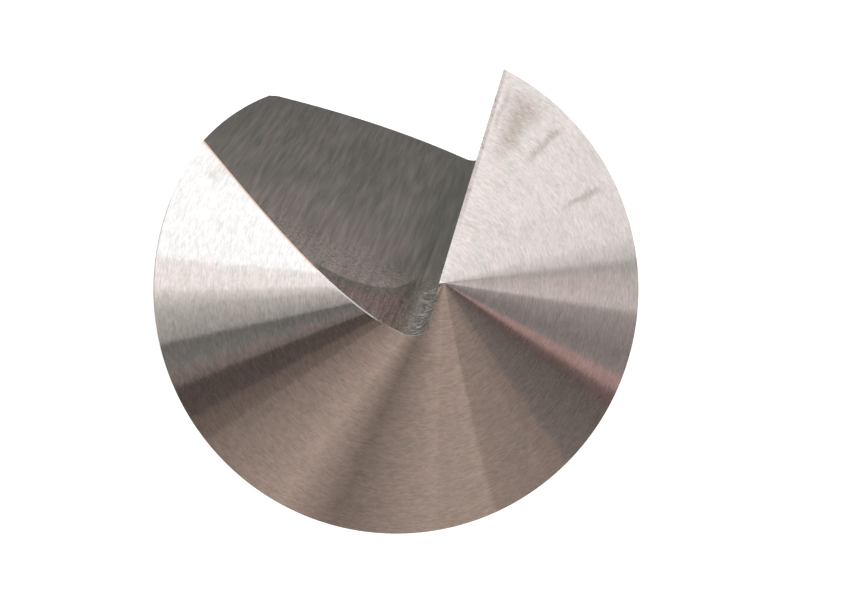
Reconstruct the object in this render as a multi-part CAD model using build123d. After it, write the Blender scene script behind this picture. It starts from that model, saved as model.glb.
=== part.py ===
from build123d import *
import math
import os

# Single-flute 90 degree countersink bit, turned and ground from one piece of high speed steel.
# Frame: origin at the centre of the shank's end face, +Z along the axis to the tip,
# +X along the cutting lip. Millimetres and degrees. The lip leads from +X towards +Y,
# which is a right-hand tool.

# Lengths along the axis
OVERALL_LENGTH = 63.0       # shank end to tip
HEAD_BACK_DEPTH = 17.7      # tip to the back edge of the head's cylinder
SHANK_END_CHAMFER = 0.6
BACK_EDGE_CHAMFER = 0.2     # broken edge between the cylinder and the back of the head
NECK_FILLET_RADIUS = 1.2    # where the back of the head meets the shank

# Diameters
HEAD_DIAMETER = 20.5
SHANK_DIAMETER = 10.0

# Cone
CONE_ANGLE = 90.0           # full angle, measured at the cutting lip
RELIEF_PER_RADIAN = 0.015   # share of its radius that the cone gives up in a turn of one radian
BACK_SLOPE = 27.0           # the back of the head leans this far from square to the axis

# Flute, ground in one straight pass. Its rake face holds the cutting lip. Its floor lies
# across the head and runs out through the back.
LIP_AHEAD = 0.19            # the lip passes this far ahead of the axis
RAKE_HOOK = 16.0            # the rake face leans this far under the lip
FLOOR_DEPTH = 5.98          # depth below the tip at which the floor crosses the axis
FLOOR_LEAN = 29.8           # angle between the floor and the axis
FLOOR_SKEW = 5.5            # the floor's fall line is turned this far from the lip
FLUTE_CORNER_RADIUS = 0.8   # between the rake face and the floor

head_radius = HEAD_DIAMETER / 2
shank_radius = SHANK_DIAMETER / 2
cone_half_angle = math.radians(CONE_ANGLE / 2)
head_back_z = OVERALL_LENGTH - HEAD_BACK_DEPTH
neck_z = head_back_z - (head_radius - shank_radius) * math.tan(math.radians(BACK_SLOPE))
tip = Vector(0, 0, OVERALL_LENGTH)


def turned_blank():
    """The turned stock: shank, sloped back of the head, and a cylinder up to the tip."""
    section = make_face(Polyline(
        (0, 0),
        (shank_radius, 0),
        (shank_radius, neck_z),
        (head_radius, head_back_z),
        (head_radius, OVERALL_LENGTH),
        (0, OVERALL_LENGTH),
        close=True,
    ))

    def corner(radius, height):
        return section.vertices().sort_by_distance((radius, height, 0))[0]

    section = chamfer(corner(shank_radius, 0), SHANK_END_CHAMFER)
    section = chamfer(corner(head_radius, head_back_z), BACK_EDGE_CHAMFER)
    section = fillet(corner(shank_radius, neck_z), NECK_FILLET_RADIUS)
    return revolve(Plane.XZ * section, Axis.Z)


def relieved_cone():
    """The cone that backs off behind the lip.

    Every straight line on it runs through the tip. A cut square to the axis is a spiral,
    widest just ahead of the lip. A straight chord closes it, where the flute takes it away.
    """
    lead = math.radians(60)
    turn = math.radians(350)
    steps = 35

    def spiral_point(index):
        lag = turn * index / steps - lead
        radius = OVERALL_LENGTH * math.tan(cone_half_angle) / (1 + RELIEF_PER_RADIAN * lag)
        return (radius * math.cos(-lag), radius * math.sin(-lag), 0)

    spiral = Spline([spiral_point(index) for index in range(steps + 1)])
    chord = Line(spiral @ 1, spiral @ 0)
    return Solid.make_loft([Wire([spiral, chord]), Vertex(tip)], ruled=True)


def flute_cutter():
    """The space that the flute leaves: above its floor and ahead of its rake face."""
    reach = 3 * HEAD_DIAMETER
    hook = math.radians(RAKE_HOOK)
    lean = math.radians(FLOOR_LEAN)
    skew = math.radians(FLOOR_SKEW)

    along_lip = Vector(math.sin(cone_half_angle), 0, -math.cos(cone_half_angle))
    into_head = Vector(-math.cos(cone_half_angle), 0, -math.sin(cone_half_angle))
    under_lip = into_head * math.cos(hook) - Vector(0, 1, 0) * math.sin(hook)
    rake_face = Plane(tip + Vector(0, LIP_AHEAD, 0), z_dir=along_lip.cross(under_lip))

    outward = Vector(math.cos(skew), math.sin(skew), 0)
    floor_normal = outward * math.cos(lean) + Vector(0, 0, 1) * math.sin(lean)
    floor = Plane(tip - Vector(0, 0, FLOOR_DEPTH), z_dir=floor_normal)

    root = rake_face.intersect(floor)
    groove = rake_face.z_dir.cross(floor.z_dir)
    up_rake = groove.cross(rake_face.z_dir)
    across_floor = floor.z_dir.cross(groove)
    start = root.position - groove * reach
    profile = make_face(Polyline(
        start,
        start + up_rake * reach,
        start + (up_rake + across_floor) * reach,
        start + across_floor * reach,
        close=True,
    ))
    wedge = extrude(profile, amount=2 * reach, dir=groove)
    root_edge = wedge.edges().sort_by_distance(root.position)[0]
    return fillet(root_edge, FLUTE_CORNER_RADIUS)


countersink_bit = (turned_blank() & relieved_cone()) - flute_cutter()

os.makedirs("parts", exist_ok=True)
export_step(countersink_bit, "parts/countersink_bit.step")
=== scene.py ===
import math

import bmesh
import bpy
from mathutils import Matrix, Vector
from mathutils.geometry import intersect_plane_plane


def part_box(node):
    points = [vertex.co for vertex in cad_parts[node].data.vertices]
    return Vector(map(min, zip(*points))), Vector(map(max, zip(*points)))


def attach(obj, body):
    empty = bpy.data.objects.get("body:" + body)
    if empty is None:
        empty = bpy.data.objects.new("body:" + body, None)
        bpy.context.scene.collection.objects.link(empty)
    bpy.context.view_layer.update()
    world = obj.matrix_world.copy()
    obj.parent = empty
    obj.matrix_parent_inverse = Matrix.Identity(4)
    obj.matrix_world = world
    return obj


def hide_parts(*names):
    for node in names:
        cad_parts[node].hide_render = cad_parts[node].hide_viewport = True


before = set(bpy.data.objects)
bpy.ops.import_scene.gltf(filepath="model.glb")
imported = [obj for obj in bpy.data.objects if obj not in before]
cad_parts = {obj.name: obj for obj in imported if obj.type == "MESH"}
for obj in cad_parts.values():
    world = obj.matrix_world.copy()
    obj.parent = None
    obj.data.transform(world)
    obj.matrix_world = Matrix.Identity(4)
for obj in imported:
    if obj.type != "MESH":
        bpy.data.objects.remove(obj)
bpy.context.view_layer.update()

# The bit stands on its shank with its tip up. Angles "round the bit" are degrees from the
# cutting lip (+X) towards +Y. Shapes are worked out in millimetres and scaled at the end.

MM = 0.001
NODE = "countersink_bit"

# Driving sizes of the bit, as in its solid model. The first two are read from the bit's box in
# model.glb.
TOP_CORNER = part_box(NODE)[1] / MM
LENGTH = TOP_CORNER.z
HEAD_RADIUS = TOP_CORNER.x
SHANK_RADIUS = 5.0
HEAD_BACK_DEPTH = 17.7
SHANK_END_CHAMFER = 0.6
BACK_EDGE_CHAMFER = 0.2
NECK_FILLET_RADIUS = 1.2
BACK_SLOPE = math.radians(27)
RELIEF = 0.015                      # share of its radius that the cone loses in a radian
CONE_HALF_ANGLE = math.radians(45)
LIP_AHEAD = 0.19
RAKE_HOOK = math.radians(16)
FLOOR_DEPTH = 5.98
FLOOR_LEAN = math.radians(29.8)
FLOOR_SKEW = math.radians(5.5)
FLUTE_CORNER_RADIUS = 0.8

SPIRAL_LEAD = math.radians(60)      # the cone's spiral begins this far ahead of the lip
SPIRAL_END = math.radians(290)      # and ends this far behind it, where the flute is

# How finely the mesh is made
SEGMENTS = 480                      # steps round the bit
SHANK_STEPS = 12
NECK_STEPS = 8
SIDE_STEPS = 3
FLUTE_CORNER_STEPS = 14
CONE_RINGS = (9.0, 7.6, 6.2, 4.9, 3.7, 2.7, 1.9, 1.2, 0.6, 0.25)
MERGE_DISTANCE = 0.01               # points this near to each other become one
SLIVER_SIZE = 0.005                 # what is smaller than this is dissolved
EDGE_ROUNDING = 0.03                # every sharp edge is broken by this much
SHARP_ANGLE = math.radians(12)      # an edge counts as sharp from this angle

HEAD_BACK_Z = LENGTH - HEAD_BACK_DEPTH
NECK_Z = HEAD_BACK_Z - (HEAD_RADIUS - SHANK_RADIUS) * math.tan(BACK_SLOPE)
TIP = Vector((0, 0, LENGTH))

# The ground surfaces, in the order of their slots while the mesh is made
SURFACES = (
    "shank_end", "shank_chamfer", "shank", "neck", "head_back", "back_chamfer",
    "head_side", "cone", "rake", "flute_corner", "flute_floor", "edge",
)
SLOT = {name: index for index, name in enumerate(SURFACES)}


# ---------------------------------------------------------------- the flute's own directions

def flute_frame():
    """Normals of the rake face and floor, the groove's direction and a point on its root."""
    along_lip = Vector((math.sin(CONE_HALF_ANGLE), 0, -math.cos(CONE_HALF_ANGLE)))
    into_head = Vector((-math.cos(CONE_HALF_ANGLE), 0, -math.sin(CONE_HALF_ANGLE)))
    under_lip = into_head * math.cos(RAKE_HOOK) - Vector((0, 1, 0)) * math.sin(RAKE_HOOK)
    rake = along_lip.cross(under_lip).normalized()
    outward = Vector((math.cos(FLOOR_SKEW), math.sin(FLOOR_SKEW), 0))
    floor = outward * math.cos(FLOOR_LEAN) + Vector((0, 0, math.sin(FLOOR_LEAN)))
    groove = rake.cross(floor).normalized()
    root, _ = intersect_plane_plane(
        TIP + Vector((0, LIP_AHEAD, 0)), rake, TIP - Vector((0, 0, FLOOR_DEPTH)), floor
    )
    root += groove * (TIP - root).dot(groove)
    return rake, floor, groove, root


RAKE, FLOOR, GROOVE, ROOT = flute_frame()
UP_RAKE = GROOVE.cross(RAKE)
ACROSS_FLOOR = FLOOR.cross(GROOVE)
CORNER_HALF_ANGLE = UP_RAKE.angle(ACROSS_FLOOR) / 2
CORNER_AXIS = ROOT + (UP_RAKE + ACROSS_FLOOR).normalized() * (
    FLUTE_CORNER_RADIUS / math.sin(CORNER_HALF_ANGLE)
)


# ---------------------------------------------------------------- the bit's mesh

def arc(centre, radius, start, end, steps):
    """Points of a circular arc, both ends included. Angles are in radians."""
    angles = [start + (end - start) * step / steps for step in range(steps + 1)]
    return [(centre[0] + radius * math.cos(a), centre[1] + radius * math.sin(a)) for a in angles]


def cone_lag(angle):
    """How far behind the lip a place on the cone is, in radians of turn.

    The flute takes away the place where the spiral's end steps back to its beginning.
    """
    lag = (-angle) % (2 * math.pi)
    if lag > 2 * math.pi - SPIRAL_LEAD:
        return lag - 2 * math.pi
    if lag > SPIRAL_END:
        share = (lag - SPIRAL_END) / (2 * math.pi - SPIRAL_LEAD - SPIRAL_END)
        return SPIRAL_END + (-SPIRAL_LEAD - SPIRAL_END) * share
    return lag


def profile():
    """Half section of the turned blank below its cone, and the centre of the neck's arc.

    The section gives each surface's points, from the shank's end up.
    """
    slope = Vector((math.cos(BACK_SLOPE), math.sin(BACK_SLOPE)))
    neck_reach = NECK_FILLET_RADIUS * math.tan((math.pi / 2 - BACK_SLOPE) / 2)
    neck_start = NECK_Z - neck_reach
    neck_centre = (SHANK_RADIUS + NECK_FILLET_RADIUS, neck_start)
    neck = arc(neck_centre, NECK_FILLET_RADIUS, math.pi, math.pi / 2 + BACK_SLOPE, NECK_STEPS)
    back_edge = Vector((HEAD_RADIUS, HEAD_BACK_Z)) - slope * BACK_EDGE_CHAMFER
    chamfer_radius = SHANK_RADIUS - SHANK_END_CHAMFER
    shank_zs = [
        SHANK_END_CHAMFER + (neck_start - SHANK_END_CHAMFER) * step / SHANK_STEPS
        for step in range(1, SHANK_STEPS + 1)
    ]
    return [
        ("shank_end", [(chamfer_radius / 2, 0), (chamfer_radius, 0)]),
        ("shank_chamfer", [(SHANK_RADIUS, SHANK_END_CHAMFER)]),
        ("shank", [(SHANK_RADIUS, z) for z in shank_zs]),
        ("neck", neck[1:]),
        ("head_back", [tuple((Vector(neck[-1]) + back_edge) / 2), tuple(back_edge)]),
        ("back_chamfer", [(HEAD_RADIUS, HEAD_BACK_Z + BACK_EDGE_CHAMFER)]),
    ], neck_centre


PROFILE, NECK_CENTRE = profile()


def cone_height(radius, angle):
    return LENGTH - radius * (1 + RELIEF * cone_lag(angle))


def blank_mesh():
    """The turned and relieved blank, as rings of points round the axis."""
    mesh = bmesh.new()
    angles = [2 * math.pi * step / SEGMENTS for step in range(SEGMENTS)]

    def ring(radius, height_at):
        return [
            mesh.verts.new((radius * math.cos(a), radius * math.sin(a), height_at(a)))
            for a in angles
        ]

    def skin(low, high, name):
        for here in range(SEGMENTS):
            there = (here + 1) % SEGMENTS
            face = mesh.faces.new((low[here], low[there], high[there], high[here]))
            face.material_index = SLOT[name]

    def cap(centre, rim, name, upward):
        for here in range(SEGMENTS):
            pair = (rim[here], rim[(here + 1) % SEGMENTS])
            face = mesh.faces.new((centre, *(pair if upward else pair[::-1])))
            face.material_index = SLOT[name]

    last = None
    for name, points in PROFILE:
        for radius, height in points:
            level = ring(radius, lambda a, height=height: height)
            if last is None:
                cap(mesh.verts.new((0, 0, 0)), level, name, upward=False)
            else:
                skin(last, level, name)
            last = level
    bottom = HEAD_BACK_Z + BACK_EDGE_CHAMFER
    for step in range(1, SIDE_STEPS + 1):
        share = step / SIDE_STEPS
        level = ring(
            HEAD_RADIUS,
            lambda a, share=share: bottom + (cone_height(HEAD_RADIUS, a) - bottom) * share,
        )
        skin(last, level, "head_side")
        last = level
    for radius in CONE_RINGS:
        level = ring(radius, lambda a, radius=radius: cone_height(radius, a))
        skin(last, level, "cone")
        last = level
    cap(mesh.verts.new(TIP), last, "cone", upward=True)
    mesh.normal_update()
    return mesh


def cutter_mesh():
    """The space that the flute leaves: a long wedge whose root edge is rounded.

    Each point of its section is named for the side that begins there.
    """
    reach = 6 * HEAD_RADIUS
    tangent = FLUTE_CORNER_RADIUS / math.tan(CORNER_HALF_ANGLE)
    start = ROOT + UP_RAKE * tangent - CORNER_AXIS
    end = ROOT + ACROSS_FLOOR * tangent - CORNER_AXIS
    section = [(ROOT + UP_RAKE * reach, "rake")]
    for step in range(FLUTE_CORNER_STEPS + 1):
        angle = start.angle(end) * step / FLUTE_CORNER_STEPS
        swing = Matrix.Rotation(angle, 3, start.cross(end))
        name = "flute_corner" if step < FLUTE_CORNER_STEPS else "flute_floor"
        section.append((CORNER_AXIS + swing @ start, name))
    section.append((ROOT + ACROSS_FLOOR * reach, "edge"))
    section.append((ROOT + (UP_RAKE + ACROSS_FLOOR) * reach, "edge"))

    mesh = bmesh.new()
    near = [mesh.verts.new(point - GROOVE * reach) for point, _ in section]
    far = [mesh.verts.new(point + GROOVE * reach) for point, _ in section]
    for here, (_, name) in enumerate(section):
        there = (here + 1) % len(section)
        face = mesh.faces.new((near[here], near[there], far[there], far[here]))
        face.material_index = SLOT[name]
    mesh.faces.new(near[::-1]).material_index = SLOT["edge"]
    mesh.faces.new(far).material_index = SLOT["edge"]
    bmesh.ops.recalc_face_normals(mesh, faces=mesh.faces)
    return mesh


def radial(point, outward, upward, around=0.0):
    """A direction given by its parts away from the axis, up, and round the axis."""
    out = Vector((point.x, point.y, 0)).normalized()
    return (out * outward + Vector((-out.y, out.x, 0)) * around + Vector((0, 0, upward))).normalized()


def surface_normal(name, point):
    """The exact outward normal of one of the bit's surfaces, or None on a broken edge."""
    if name == "shank_end":
        return Vector((0, 0, -1))
    if name == "shank_chamfer":
        return radial(point, 1, -1)
    if name in ("shank", "head_side"):
        return radial(point, 1, 0)
    if name == "neck":
        radius = math.hypot(point.x, point.y)
        return radial(point, NECK_CENTRE[0] - radius, NECK_CENTRE[1] - point.z)
    if name == "head_back":
        return radial(point, math.sin(BACK_SLOPE), -math.cos(BACK_SLOPE))
    if name == "back_chamfer":
        return radial(point, 1 + math.sin(BACK_SLOPE), -math.cos(BACK_SLOPE))
    if name == "cone":
        lag = cone_lag(math.atan2(point.y, point.x))
        return radial(point, 1 + RELIEF * lag, 1, -RELIEF)
    if name == "rake":
        return RAKE
    if name == "flute_floor":
        return FLOOR
    if name == "flute_corner":
        inward = CORNER_AXIS - point
        return (inward - GROOVE * inward.dot(GROOVE)).normalized()
    return None


def to_object(mesh, name, materials):
    data = bpy.data.meshes.new(name)
    mesh.to_mesh(data)
    mesh.free()
    for material in materials:
        data.materials.append(material)
    obj = bpy.data.objects.new(name, data)
    bpy.context.collection.objects.link(obj)
    return obj


def cut_blank():
    """The blank with the flute taken out, as a bmesh whose slots still name its surfaces."""
    places = [bpy.data.materials.new("place_" + name) for name in SURFACES]
    blank = to_object(blank_mesh(), "blank", places)
    cutter = to_object(cutter_mesh(), "cutter", places)
    cut = blank.modifiers.new("flute", "BOOLEAN")
    cut.operation = "DIFFERENCE"
    cut.solver = "EXACT"
    cut.object = cutter
    shaped = blank.evaluated_get(bpy.context.evaluated_depsgraph_get())
    mesh = bmesh.new()
    mesh.from_mesh(shaped.to_mesh())
    for obj in (blank, cutter):
        bpy.data.meshes.remove(obj.data)     # its object goes with it
    for place in places:
        bpy.data.materials.remove(place)
    return mesh


def break_edges(mesh):
    """Rounds every edge where two surfaces meet at an angle."""
    bmesh.ops.remove_doubles(mesh, verts=mesh.verts, dist=MERGE_DISTANCE)
    bmesh.ops.dissolve_degenerate(mesh, edges=mesh.edges, dist=SLIVER_SIZE)
    mesh.normal_update()
    sharp = []
    for edge in mesh.edges:
        if len(edge.link_faces) != 2:
            continue
        first, second = edge.link_faces
        if first.material_index == second.material_index:
            continue
        if edge.calc_face_angle() > SHARP_ANGLE:
            sharp.append(edge)
    bmesh.ops.bevel(
        mesh, geom=sharp, offset=EDGE_ROUNDING, offset_type="OFFSET", segments=2,
        profile=0.5, affect="EDGES", clamp_overlap=True, material=SLOT["edge"],
    )
    mesh.normal_update()


def corner_normals(mesh):
    """One normal for each face corner: exact on the surfaces, blended over the edges."""
    known = {}
    for vert in mesh.verts:
        names = {SURFACES[face.material_index] for face in vert.link_faces} - {"edge"}
        exact = [surface_normal(name, vert.co) for name in names]
        total = sum(exact, Vector())
        known[vert] = total.normalized() if exact else vert.normal.copy()
    normals = []
    for face in mesh.faces:
        name = SURFACES[face.material_index]
        for loop in face.loops:
            exact = surface_normal(name, loop.vert.co)
            at_tip = math.hypot(*loop.vert.co.xy) < MERGE_DISTANCE
            if name == "cone" and at_tip:
                exact = surface_normal(name, face.calc_center_median())
            normals.append(exact or known[loop.vert])
    return normals


def build_bit(finishes):
    """The bit in metres. The finishes give each surface's material."""
    mesh = cut_blank()
    break_edges(mesh)
    for face in mesh.faces:
        face.smooth = True
    mesh.verts.index_update()
    normals = corner_normals(mesh)
    kinds = list(dict.fromkeys(finishes[name] for name in SURFACES))
    for face in mesh.faces:
        face.material_index = kinds.index(finishes[SURFACES[face.material_index]])
    mesh.transform(Matrix.Scale(MM, 4))
    bit = to_object(mesh, "ground_bit", kinds)
    bit.data.normals_split_custom_set(normals)
    return bit


# ---------------------------------------------------------------- shader kit

class Link:
    """An output socket. Arithmetic on it adds Math nodes."""

    def __init__(self, nodes, socket):
        self.nodes = nodes
        self.socket = socket

    def math(self, operation, *values):
        return self.nodes.add("ShaderNodeMath", {"operation": operation}, dict(enumerate(values)))

    def __add__(self, other):
        return self.math("ADD", self, other)

    def __radd__(self, other):
        return self.math("ADD", other, self)

    def __sub__(self, other):
        return self.math("SUBTRACT", self, other)

    def __rsub__(self, other):
        return self.math("SUBTRACT", other, self)

    def __mul__(self, other):
        return self.math("MULTIPLY", self, other)

    def __rmul__(self, other):
        return self.math("MULTIPLY", other, self)

    def __truediv__(self, other):
        return self.math("DIVIDE", self, other)

    def __rtruediv__(self, other):
        return self.math("DIVIDE", other, self)

    def __pow__(self, other):
        return self.math("POWER", self, other)

    def __rpow__(self, other):
        return self.math("POWER", other, self)

    def __abs__(self):
        return self.math("ABSOLUTE", self)

    def max(self, other):
        """The larger of two values."""
        return self.math("MAXIMUM", self, other)

    def step(self, low, high):
        """0 below low, 1 above high, smooth between them. Low may be above high."""
        return self.nodes.add(
            "ShaderNodeMapRange",
            {"interpolation_type": "SMOOTHSTEP", "clamp": True},
            {"Value": self, "From Min": low, "From Max": high},
        )


class Nodes:
    """The nodes of one material or world."""

    def __init__(self, owner):
        owner.use_nodes = True
        self.tree = owner.node_tree
        self.tree.nodes.clear()

    def add(self, kind, settings=None, inputs=None, output=0):
        """A node of this kind, with its settings made first and its sockets filled after."""
        node = self.tree.nodes.new(kind)
        for name, value in (settings or {}).items():
            setattr(node, name, value)
        for name, value in (inputs or {}).items():
            if isinstance(value, Link):
                self.tree.links.new(value.socket, node.inputs[name])
            else:
                node.inputs[name].default_value = value
        return Link(self, node.outputs[output]) if len(node.outputs) else node

    def vector(self, operation, first, second=None, **named):
        inputs = {0: first}
        if second is not None:
            inputs[1] = second
        inputs.update(named)
        output = "Value" if operation in ("DOT_PRODUCT", "DISTANCE") else "Vector"
        return self.add("ShaderNodeVectorMath", {"operation": operation}, inputs, output)

    def join(self, x, y, z):
        return self.add("ShaderNodeCombineXYZ", None, {0: x, 1: y, 2: z})

    def split(self, place, count=3):
        """The first parts of a vector."""
        return [
            self.add("ShaderNodeSeparateXYZ", None, {0: place}, output) for output in range(count)
        ]

    def noise(self, place, scale, detail, roughness):
        """Noise in 0 to 1, about 0.5, with features of 1 / scale in size."""
        return self.add(
            "ShaderNodeTexNoise",
            {"noise_dimensions": "3D", "normalize": True},
            {"Vector": place, "Scale": scale, "Detail": detail, "Roughness": roughness},
        )

    def mix(self, share, first, second, blend="MIX"):
        """A colour between two others, which are the node's sockets 6 and 7."""
        return self.add(
            "ShaderNodeMix",
            {"data_type": "RGBA", "blend_type": blend, "clamp_factor": True},
            {"Factor": share, 6: first, 7: second},
            output=2,
        )

    def tint(self, colour, by, share=1.0):
        """A colour multiplied by another one."""
        return self.mix(share, colour, by, "MULTIPLY")

    def bump(self, height, distance):
        """A normal from a height in 0 to 1, whose whole range is this distance in metres."""
        return self.add(
            "ShaderNodeBump", None, {"Height": height, "Distance": distance, "Strength": 1.0}
        )


def grey(level):
    return (level, level, level, 1)


# ---------------------------------------------------------------- finishes

STEEL = (0.72, 0.70, 0.68, 1)
STEEL_SHADE = (0.50, 0.48, 0.46, 1)
COOL_BLUSH = (0.985, 1.0, 0.985, 1)
WARM_BLUSH = (1.0, 0.965, 0.965, 1)
FINGER_MARK = (0.58, 0.53, 0.47, 1)
LIP_DARK = (0.50, 0.45, 0.45, 1)
LIP_LIGHT = (0.78, 0.76, 0.75, 1)
HEEL_RUST = (0.50, 0.36, 0.28, 1)
# Rubbed edges, painted brighter as an edge highlight too
RUBBED_EDGE_AND_GLINT = (0.9, 0.88, 0.86, 1)
# Painted highlight: white for the glints of burrs
BURR_GLINT = grey(1)

FLUTE_STEEL = (0.60, 0.575, 0.55, 1)
FLUTE_SHADE = (0.38, 0.365, 0.35, 1)
FLUTE_COOL = (0.83, 0.85, 0.82, 1)
FLUTE_WARM = (1.0, 0.92, 0.90, 1)
CORNER_SHADE = (0.95, 1.0, 0.97, 1)
SCRATCH = (0.85, 0.86, 0.83, 1)
PIT = grey(0.5)
# Painted shade in the deeper patch at the tip's end of the floor, greener along its border
DIP_SHADE_DARK = (0.62, 0.51, 0.50, 1)
DIP_SHADE_LIGHT = (0.86, 0.72, 0.71, 1)
DIP_BORDER_SHADE = (0.60, 0.62, 0.58, 1)

LINE_SPREAD = 0.97                  # how strongly lines round the axis spread a reflection
LINE_TURN = 0.25                    # a quarter turn, so that it spreads across the lines
ROUND_ROUGHNESS = 0.13
FLUTE_ROUGHNESS = 0.30
EDGE_ROUGHNESS = 0.25
ROUND_LINE_DEPTH = 0.0024 * MM
FLUTE_LINE_DEPTH = 0.008 * MM
EDGE_NICK_DEPTH = 0.005 * MM

# Marks and rust are kept to the cone and the top of the head's side. Down from there they fade
# out between these heights.
MARKS_FADE = (LENGTH - 13, LENGTH - 12)

# Finger marks on the cone, seen along the axis: each end and half the width there, and how dark
SMUDGES = (
    ((9.5, -1.35), 0.75, (5.9, -0.6), 0.25, 1.0),
    ((9.0, -2.95), 0.17, (6.5, -1.8), 0.13, 0.9),
    ((7.45, -5.65), 0.15, (5.5, -3.95), 0.11, 0.85),
    ((9.3, -0.35), 0.16, (6.9, -0.2), 0.10, 0.7),
    ((1.2, 8.8), 0.30, (0.45, 9.2), 0.30, 0.45),
)

# The tip's end of the flute floor is ground a little deeper. Its border is an arc, given across
# the floor and down the groove from the root's end.
DIP_CENTRE = (3.93, 5.88)
DIP_RADIUS = 2.63


def position(nodes):
    """A place on the bit in millimetres, and its three parts."""
    place = nodes.add("ShaderNodeTexCoord", output="Object")
    place = nodes.vector("SCALE", place, Scale=1 / MM)
    return place, nodes.split(place)


def flute_position(nodes, place):
    """How far a place is across the flute floor, down the groove, off the floor and off the rake."""
    from_root = nodes.vector("SUBTRACT", place, tuple(ROOT))
    return [
        nodes.vector("DOT_PRODUCT", from_root, tuple(axis))
        for axis in (ACROSS_FLOOR, GROOVE, FLOOR, RAKE)
    ]


def on_head(z):
    """1 on the cone and the upper part of the head's side, 0 further down."""
    return z.step(*MARKS_FADE)


def heel_side(y, z):
    """1 on the side of the head where the flute's floor ends in the heel."""
    return y.step(1.0, 1.5) * on_head(z)


def burr_glint_stretch(across, grain, wander):
    """1 along the stretch of the heel near the tip where a burr's glint is painted."""
    outer_end = (across + (grain - 0.5) * wander).step(4.9, 4.6)
    inner_end = (across + (grain - 0.5) * 5).step(1.4, 2.0)
    return outer_end * inner_end


def ground_steel(nodes, colour, roughness, normal, turned):
    """The metal itself. Grinding round the axis spreads its reflections across the lines."""
    surface = nodes.add(
        "ShaderNodeBsdfPrincipled",
        None,
        {
            "Base Color": colour,
            "Metallic": 1.0,
            "Roughness": roughness,
            "Anisotropic": LINE_SPREAD if turned else 0.0,
            "Anisotropic Rotation": LINE_TURN if turned else 0.0,
            "Normal": normal,
        },
    )
    nodes.add("ShaderNodeOutputMaterial", None, {"Surface": surface})


def turned_noise(nodes, spot, round_scale, along_scale, detail, roughness):
    """Noise drawn out round the axis, with so many features a millimetre round and along it."""
    x, y, along = spot
    place = nodes.join(x * round_scale, y * round_scale, along * along_scale)
    return nodes.noise(place, 1, detail, roughness)


def smudge(nodes, plan, start, start_width, end, end_width):
    """1 along the middle of a smudge, fading to 0 at its sides and ends."""
    run = Vector(end) - Vector(start)
    from_start = nodes.vector("SUBTRACT", plan, (*start, 0))
    share = nodes.vector("DOT_PRODUCT", from_start, (*(run / run.length_squared), 0))
    nearest = nodes.vector("SCALE", (*run, 0), Scale=share)
    gap = nodes.vector("DISTANCE", from_start, nearest)
    width = start_width + (end_width - start_width) * share
    ends = share.step(-0.15, 0.20) * share.step(1.15, 0.65)
    return (gap / width).step(1.7, 0.1) * ends


def finger_marks(nodes, place, spot, streaks, grain):
    """How dark the finger marks are, and the faint patches between them."""
    x, y, _ = spot
    wander = nodes.noise(place, 0.8, 2, 0.5)
    shift = (wander - 0.5) * 0.5 + (streaks - 0.5) * 0.15
    plan = nodes.join(x + shift, y + shift, 0.0)
    marks = None
    for *ends, depth in SMUDGES:
        mark = smudge(nodes, plan, *ends) * depth
        marks = marks.max(mark) if marks else mark
    marks = marks * (0.5 + 1.6 * (0.6 - streaks) + (grain - 0.5) * 0.9)
    patches = turned_noise(nodes, spot, 0.9, 0.63, 3, 0.6).step(0.53, 0.70)
    return marks.max(patches * 0.15)


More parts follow.
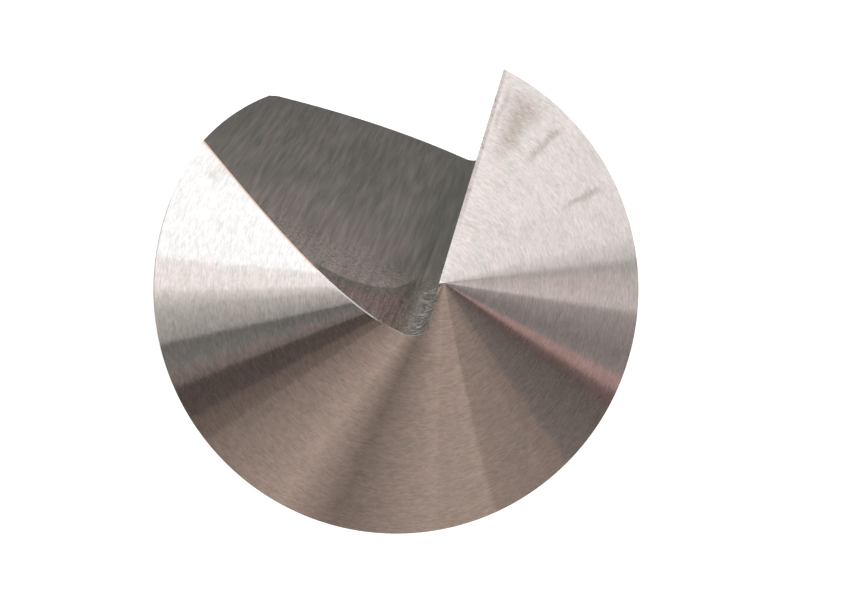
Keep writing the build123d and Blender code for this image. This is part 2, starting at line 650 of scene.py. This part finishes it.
def round_grind():
    """Fine lines ground round the axis, on the cone, the head's side, its back and the shank."""
    material = bpy.data.materials.new("round_grind")
    nodes = Nodes(material)
    place, (x, y, z) = position(nodes)
    across, _, off_floor, off_rake = flute_position(nodes, place)
    radius = (x * x + y * y) ** 0.5
    spot = (x, y, (radius - z) * math.sqrt(0.5))
    streaks = turned_noise(nodes, spot, 3.6, 15, 4, 0.7)
    lines = turned_noise(nodes, spot, 1.7, 7, 2, 0.6)
    broad = turned_noise(nodes, spot, 0.8, 1.4, 3, 0.6)
    grain = nodes.noise(place, 4, 3, 0.6)
    head = on_head(z)

    wear = (streaks - 0.5) * 1.1 + (lines - 0.5) * 0.5 + (broad - 0.5) * 0.35 + (grain - 0.5) * 0.5
    colour = nodes.mix(wear.step(-0.36, 0.36), STEEL_SHADE, STEEL)
    blush = (broad * 0.5 + lines * 0.5).step(0.38, 0.62)
    colour = nodes.tint(colour, nodes.mix(blush, COOL_BLUSH, WARM_BLUSH))
    marks = finger_marks(nodes, place, spot, streaks, grain) * head
    colour = nodes.tint(colour, FINGER_MARK, marks)

    # The strip behind the lip is a little darker
    lip_side = head * x.step(-0.1, 0.0) * y.step(0.9, 0.5)
    lip = off_rake.step(-0.20, -0.10) * lip_side * radius.step(1.5, 3.5)
    lip_tint = nodes.mix(grain.step(0.3, 0.45), LIP_DARK, LIP_LIGHT)
    colour = nodes.mix(lip, colour, nodes.tint(colour, lip_tint))

    # A brown line along the heel, painted shade on the rim on the far side, and painted glints of
    # burrs by the tip
    heel = off_floor.step(-0.08, -0.03) * heel_side(y, z)
    colour = nodes.mix(heel, colour, HEEL_RUST)
    # Painted shade: the outer rim on the far side is darkened
    shaded_rim_side = head * x.step(-0.3, -1.2) * x.step(-5.5, -4.5) * y.step(0, 1)
    rim = radius.step(HEAD_RADIUS - 0.07, HEAD_RADIUS - 0.02) * shaded_rim_side
    colour = nodes.tint(colour, STEEL_SHADE, rim * 0.8)
    # Painted highlight: burrs by the tip and along the heel are painted white for their glints
    tip_burr_glint = off_rake.step(-0.16, -0.06) * lip_side * x.step(0.9, 0.6) * streaks.step(0.45, 0.55)
    burr_glint = (heel * burr_glint_stretch(across, grain, 1)).max(tip_burr_glint)
    colour = nodes.mix(burr_glint, colour, BURR_GLINT)

    roughness = ROUND_ROUGHNESS + (lines - 0.5) * 0.04 + marks * 0.03 + burr_glint * 0.5
    normal = nodes.bump(streaks * 0.8 + lines * 0.2, ROUND_LINE_DEPTH)
    ground_steel(nodes, colour, roughness, normal, turned=True)
    return material


def flute_noise(nodes, spot, across_scale, down_scale, detail=2, roughness=0.5, shift=0):
    """Noise with so many features a millimetre across the flute and down it."""
    across, down, off = spot
    place = nodes.join(across * across_scale, down * down_scale, off * across_scale + shift)
    return nodes.noise(place, 1, detail, roughness)


def dip_in_floor(nodes, spot, grain, tints):
    """1 in the deeper patch at the tip's end of the floor, and 1 along the patch's border, where its
    painted shade goes.
    """
    across, down, _ = spot
    reach = nodes.vector("DISTANCE", nodes.join(across, down, 0.0), (*DIP_CENTRE, 0))
    reach = reach + (grain - 0.5) * 0.12 + (tints - 0.5) * 0.2
    inside = down.step(6.2, 5.2) * across.step(5.0, 4.85) * across.step(0.6, 1.5)
    dip = reach.step(DIP_RADIUS - 0.05, DIP_RADIUS + 0.12) * inside
    border = reach.step(DIP_RADIUS + 0.9, DIP_RADIUS + 0.3) * dip
    return dip, border


def flute_grind():
    """Straight marks along the flute, left by the side of the wheel."""
    material = bpy.data.materials.new("flute_grind")
    nodes = Nodes(material)
    place, _ = position(nodes)
    across, down, off, _ = flute_position(nodes, place)
    spot = (across, down, off)
    lines = flute_noise(nodes, spot, 5.5, 0.4)
    fine = flute_noise(nodes, spot, 11, 0.8, 2, 0.6)
    broad = flute_noise(nodes, spot, 0.5, 0.25)
    tints = flute_noise(nodes, spot, 3.0, 0.35, shift=9)
    grain = nodes.noise(place, 8, 3, 0.7)
    near_tip = down.step(12, 3.0)
    grainy = down.step(7.5, 4.5)

    wear = (lines - 0.5) * 0.6 + (broad - 0.5) * 0.5 + (grain - 0.5) * grainy * 3
    colour = nodes.mix(wear.step(-0.4, 0.4), FLUTE_SHADE, FLUTE_STEEL)
    warmth = (tints - 0.5) * 2.4 + (broad - 0.5) + near_tip * 0.8 - 0.35
    colour = nodes.tint(colour, nodes.mix(warmth.step(-0.6, 0.6), FLUTE_COOL, FLUTE_WARM))

    # Painted shade: the deeper patch is coloured darker and warmer, and greener along its border
    dip, border = dip_in_floor(nodes, spot, grain, tints)
    dip_shade_lines = nodes.mix(fine.step(0.3, 0.7), DIP_SHADE_DARK, DIP_SHADE_LIGHT)
    shaded_dip = nodes.mix(border, nodes.tint(colour, dip_shade_lines), nodes.tint(colour, DIP_BORDER_SHADE))
    colour = nodes.mix(dip, colour, shaded_dip)

    # Painted shade: the flute's root corner is tinted a little darker and greener
    corner = (across + (lines - 0.5) * 0.3).step(1.75, 1.25)
    colour = nodes.tint(colour, CORNER_SHADE, corner)
    scratches = flute_noise(nodes, spot, 2.5, 7, 3, 0.65)
    scratched = scratches.step(0.48, 0.60) * across.step(0.95, 0.45) * down.step(7.5, 4.0)
    colour = nodes.mix(scratched * 0.45, colour, SCRATCH)
    pits = nodes.noise(place, 3.2, 1, 0.5).step(0.69, 0.76) * grainy
    colour = nodes.tint(colour, PIT, pits * 0.5)

    roughness = FLUTE_ROUGHNESS + (lines - 0.5) * 0.10 + scratched * 0.15
    height = lines + fine * 0.1 + grain * grainy * 0.6 - dip * 0.3 + scratched * 0.5
    ground_steel(nodes, colour, roughness, nodes.bump(height, FLUTE_LINE_DEPTH), turned=False)
    return material


def edge_shine():
    """The thin broken edges, rubbed bright in places and painted brighter there as an edge highlight.
    """
    material = bpy.data.materials.new("edge_shine")
    nodes = Nodes(material)
    place, (_, y, z) = position(nodes)
    across, _, off_floor, _ = flute_position(nodes, place)
    grain = nodes.noise(place, 5, 3, 0.6)
    heel = abs(off_floor).step(0.25, 0.15) * heel_side(y, z)
    # Painted highlight: the burr along the heel is painted white for its glint
    burr_glint = heel * burr_glint_stretch(across, grain, 0)
    # Rubbed wear and a painted edge highlight, at random along the edges
    colour = nodes.mix(grain.step(0.35, 0.6), STEEL_SHADE, RUBBED_EDGE_AND_GLINT)
    colour = nodes.mix(heel, colour, HEEL_RUST)
    colour = nodes.mix(burr_glint, colour, BURR_GLINT)
    roughness = EDGE_ROUGHNESS + grain * 0.2 + burr_glint * 0.3
    ground_steel(nodes, colour, roughness, nodes.bump(grain, EDGE_NICK_DEPTH), turned=False)
    return material


round_finish = round_grind()
flute_finish = flute_grind()
finishes = {name: round_finish for name in SURFACES}
finishes["rake"] = finishes["flute_corner"] = finishes["flute_floor"] = flute_finish
finishes["edge"] = edge_shine()

bit = build_bit(finishes)
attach(bit, "root")
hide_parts(NODE)


# ---------------------------------------------------------------- floor, backdrop, cards

def seen(nodes):
    """1 for rays that see the scene as the viewer would: straight, in metal or through glass."""
    straight, in_metal, through_glass = [
        nodes.add("ShaderNodeLightPath", output=name)
        for name in ("Is Camera Ray", "Is Glossy Ray", "Is Transmission Ray")
    ]
    return straight.max(in_metal).max(through_glass)


def make_floor():
    """A plain pale floor that keeps the shadow."""
    reach = 2.0             # metres
    white_share = 0.6       # the rest of what is seen of it is lit paper
    mesh = bmesh.new()
    bmesh.ops.create_circle(mesh, cap_ends=True, radius=reach, segments=96)
    material = bpy.data.materials.new("pale_floor")
    nodes = Nodes(material)
    paper = nodes.add("ShaderNodeBsdfDiffuse", None, {"Color": grey(0.92)})
    white = nodes.add("ShaderNodeEmission", None, {"Color": grey(1), "Strength": 1.0})
    surface = nodes.add(
        "ShaderNodeMixShader", None, {0: seen(nodes) * white_share, 1: paper, 2: white}
    )
    nodes.add("ShaderNodeOutputMaterial", None, {"Surface": surface})
    to_object(mesh, "floor", [material])


def make_world():
    """White all round for what is seen, and soft light for the rest."""
    world = bpy.data.worlds.new("studio")
    bpy.context.scene.world = world
    nodes = Nodes(world)
    light = nodes.add("ShaderNodeBackground", None, {"Color": grey(1), "Strength": 0.75})
    white = nodes.add("ShaderNodeBackground", None, {"Color": grey(1), "Strength": 1.0})
    surface = nodes.add("ShaderNodeMixShader", None, {0: seen(nodes), 1: light, 2: white})
    nodes.add("ShaderNodeOutputWorld", None, {"Surface": surface})


RING_RADIUS = 0.09
RING_SECTION = ((RING_RADIUS, 0.0005), (RING_RADIUS, 0.16))
TRAY_SECTION = ((0.006, 0.0006), (0.086, 0.0012), (0.088, 0.014))
TRAY_START = -75
TRAY_END = 85
TRAY_TINT = (1.0, 0.95, 0.91)
TRAY_BRIGHTNESS = 0.75      # close to the shank
TRAY_DIMMING = 0.59         # how much of that is gone further out
TRAY_FADE = (0.008, 0.045)  # the radii between which it goes, in metres
CARD_STEP = 3               # degrees round the bit for each step of a card

WHITE_CLOTH = (1.0, 0.958, 0.962)
BRIGHT_CLOTH = (0.98, 1.0, 1.03)
GREY_CARD = (1.0, 0.96, 0.93)
ROSE_CARD = (1.0, 0.89, 0.88)
TAUPE_BOARD = (1.0, 0.83, 0.77)
WARM_BOARD = (1.0, 0.78, 0.68)
DARK_FELT = (1.0, 0.78, 0.73)
RED_BOARD = (1.0, 0.66, 0.62)

# Cards round the bit: where each begins and ends round the bit, its colour, and its
# brightness at both ends
CARDS = (
    (-77, -68, ROSE_CARD, 0.32, 0.50),
    (-68, -59.5, ROSE_CARD, 0.88, 0.74),
    (-59.5, -57, GREY_CARD, 0.62, 0.62),
    (-57, -52, WHITE_CLOTH, 0.85, 1.10),
    (-52, 0, WHITE_CLOTH, 1.18, 1.36),
    (0, 74, WHITE_CLOTH, 1.2, 1.4),
    (74, 106, BRIGHT_CLOTH, 1.72, 1.66),
    (106, 115, WHITE_CLOTH, 1.40, 1.32),
    (115, 119, GREY_CARD, 1.1, 0.8),
    (119, 129, GREY_CARD, 0.72, 0.45),
    (129, 136, GREY_CARD, 0.20, 0.26),
    (136, 141, TAUPE_BOARD, 0.31, 0.24),
    (141, 150, DARK_FELT, 0.11, 0.13),
    (150, 157, WARM_BOARD, 0.19, 0.24),
    (157, 183, WARM_BOARD, 0.31, 0.59),
    (183, 197, WARM_BOARD, 0.54, 0.25),
    (197, 222, WARM_BOARD, 0.28, 0.57),
    (222, 236, WARM_BOARD, 0.51, 0.55),
    (236, 251, WARM_BOARD, 0.41, 0.37),
    (251, 256, WARM_BOARD, 0.34, 0.33),
    (256, 271, TAUPE_BOARD, 0.25, 0.17),
    (271, 274.5, RED_BOARD, 0.17, 0.23),
    (274.5, 278, RED_BOARD, 0.48, 0.56),
    (278, 283, ROSE_CARD, 0.33, 0.30),
)


def glowing(name, tint, strength):
    """A material that gives light. The strength comes from a function of the place on it."""
    material = bpy.data.materials.new(name)
    nodes = Nodes(material)
    x, y = nodes.split(nodes.add("ShaderNodeTexCoord", output="Object"), 2)
    colour = nodes.vector("SCALE", tint, Scale=strength(x, y))
    glow = nodes.add("ShaderNodeEmission", None, {"Color": colour, "Strength": 1.0})
    nodes.add("ShaderNodeOutputMaterial", None, {"Surface": glow})
    return material


def make_card(name, start, end, section, material):
    """A sheet swept round the axis from its section, in metres. Only reflections show it."""
    mesh = bmesh.new()
    steps = max(1, round((end - start) / CARD_STEP))
    width = math.radians(end - start)
    last = None
    for step in range(steps + 1):
        angle = width * (step / steps - 0.5)
        line = [
            mesh.verts.new((radius * math.cos(angle), radius * math.sin(angle), height))
            for radius, height in section
        ]
        if last:
            for here in range(len(line) - 1):
                mesh.faces.new((last[here], line[here], line[here + 1], last[here + 1]))
        last = line
    card = to_object(mesh, name, [material])
    card.rotation_euler.z = math.radians((start + end) / 2)
    card.visible_camera = False
    card.visible_diffuse = False
    card.visible_shadow = False


def make_cards():
    """A ring of soft cards close round the bit, and a dark tray that the flute looks into."""
    for number, (start, end, tint, low, high) in enumerate(CARDS):
        width = math.radians(end - start)

        def strength(x, y, low=low, high=high, width=width):
            return (low + high) / 2 + (high - low) / width * y.math("ARCTAN2", y, x)

        name = "card_%02d" % number
        make_card(name, start, end, RING_SECTION, glowing(name, tint, strength))

    def tray_strength(x, y):
        return TRAY_BRIGHTNESS - TRAY_DIMMING * ((x * x + y * y) ** 0.5).step(*TRAY_FADE)

    tray = glowing("tray", TRAY_TINT, tray_strength)
    make_card("tray", TRAY_START, TRAY_END, TRAY_SECTION, tray)


def make_lamp(name, angle, height, distance, size, power):
    """A square soft box that looks at the middle of the bit. Reflections don't show it."""
    lamp = bpy.data.lights.new(name, "AREA")
    lamp.shape = "SQUARE"
    lamp.size = size
    lamp.energy = power
    turn = math.radians(angle)
    obj = bpy.data.objects.new(name, lamp)
    bpy.context.collection.objects.link(obj)
    obj.location = (distance * math.cos(turn), distance * math.sin(turn), height)
    middle = TIP * MM / 2
    obj.rotation_mode = "QUATERNION"
    obj.rotation_quaternion = (middle - obj.location).to_track_quat("-Z", "Y")
    obj.visible_glossy = False
    obj.visible_camera = False


make_floor()
make_world()
make_cards()
make_lamp("lamp_left", angle=100, height=0.9, distance=0.5, size=0.6, power=9)
make_lamp("lamp_right", angle=-40, height=0.9, distance=0.4, size=0.6, power=7)


# ---------------------------------------------------------------- camera

def make_camera():
    """Close over the tip, leaning a little off the axis, as a macro lens sees the bit."""
    lean, lean_towards = 0.16188, 0.07743     # how far the axis leans, and to where, in radians
    lip_turn = math.radians(63.93)            # the lip's direction in the view
    tip_seen = Vector((0.0677, 0.0721, -6.0)) * HEAD_RADIUS * MM
    camera_data = bpy.data.cameras.new("camera")
    camera_data.sensor_width = 36
    camera_data.lens = 72.72
    camera_data.clip_start = 0.005
    camera_data.clip_end = 10
    axis = Vector((
        math.sin(lean) * math.cos(lean_towards),
        math.sin(lean) * math.sin(lean_towards),
        math.cos(lean),
    ))
    side = Vector((1, 0, 0))
    side = (side - axis * side.dot(axis)).normalized()
    up = axis.cross(side)
    part_x = side * math.cos(lip_turn) + up * math.sin(lip_turn)
    part_y = up * math.cos(lip_turn) - side * math.sin(lip_turn)
    to_camera = Matrix((part_x, part_y, axis)).transposed()
    turn = to_camera.transposed()
    place = TIP * MM - turn @ tip_seen
    camera = bpy.data.objects.new("camera", camera_data)
    bpy.context.collection.objects.link(camera)
    camera.matrix_world = Matrix.Translation(place) @ turn.to_4x4()
    bpy.context.scene.camera = camera


make_camera()
bpy.context.scene.view_settings.view_transform = "Standard"
